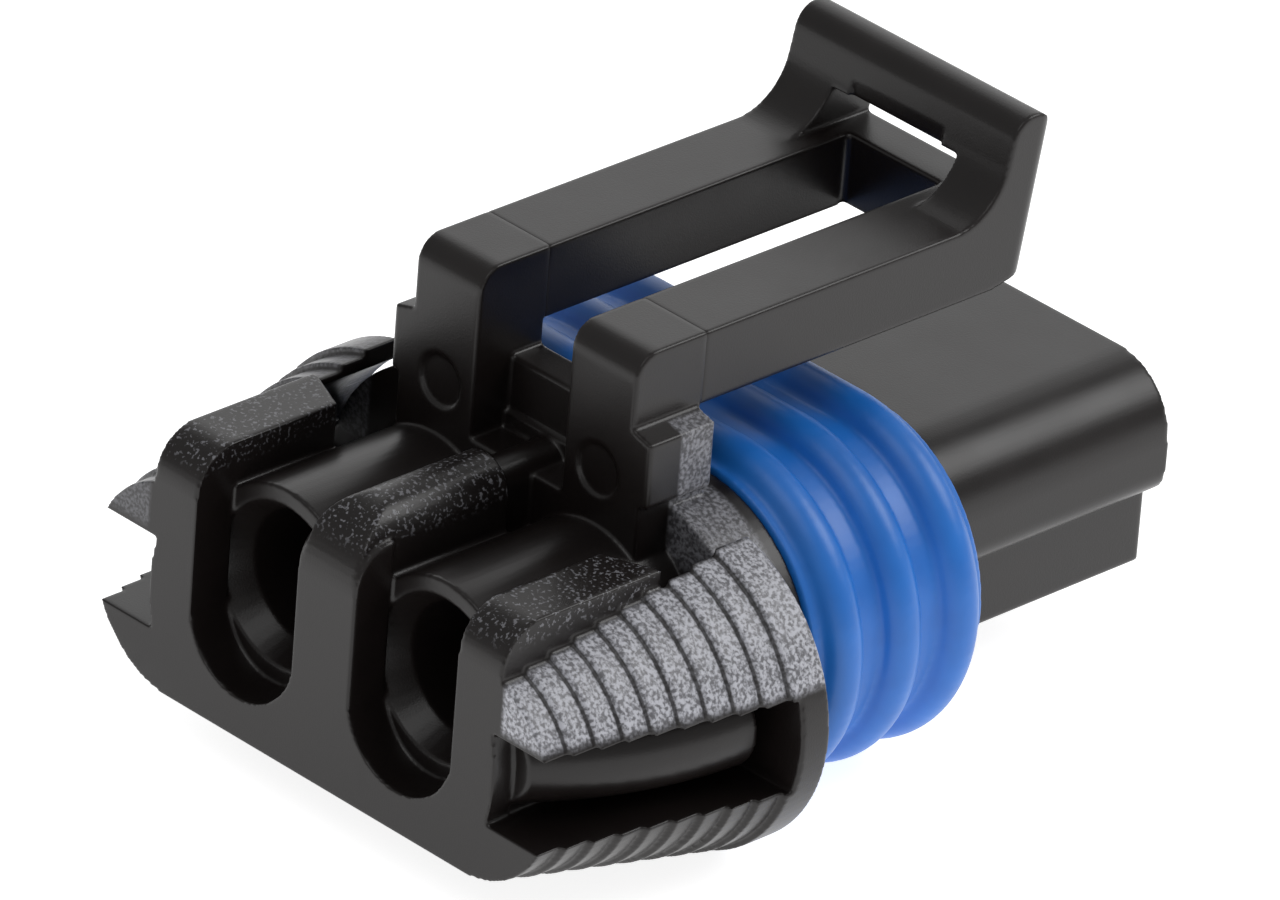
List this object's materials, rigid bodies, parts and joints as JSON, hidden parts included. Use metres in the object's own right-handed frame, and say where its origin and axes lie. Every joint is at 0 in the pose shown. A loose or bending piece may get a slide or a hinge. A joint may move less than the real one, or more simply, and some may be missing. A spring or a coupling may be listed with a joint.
{
  "type": "sealed automotive connector",
  "caption": "Sealed automotive connector body with ribbed finger grips, a raised lock arm loop, a ribbed perimeter seal and an oblong mating nose; cavities empty.",
  "frame": {"origin": "middle of the cable end face, at the height of the grips' centre line", "axes": "+Y along the mating direction, from the cable end to the nose; +Z towards the lock arm; +X across the two cavities"},
  "size_m": [0.0294, 0.0365, 0.0238],
  "materials": {
    "black_nylon": "satin fine-grained moulding",
    "blue_silicone": "soft sheen"
  },
  "bodies": {
    "connector": {"housing": "black_nylon", "perimeter_seal": "blue_silicone"},
    "lock_arm": {"lock_arm": "black_nylon"}
  },
  "joints": [
    {"name": "lock_flex", "type": "hinge", "parent": "connector", "child": "lock_arm", "pos_m": [0, 0.0146, 0.01167], "axis": [1, 0, 0], "range_deg": [0, 8], "stiffness_Nm_per_rad": 2.9}
  ]
}
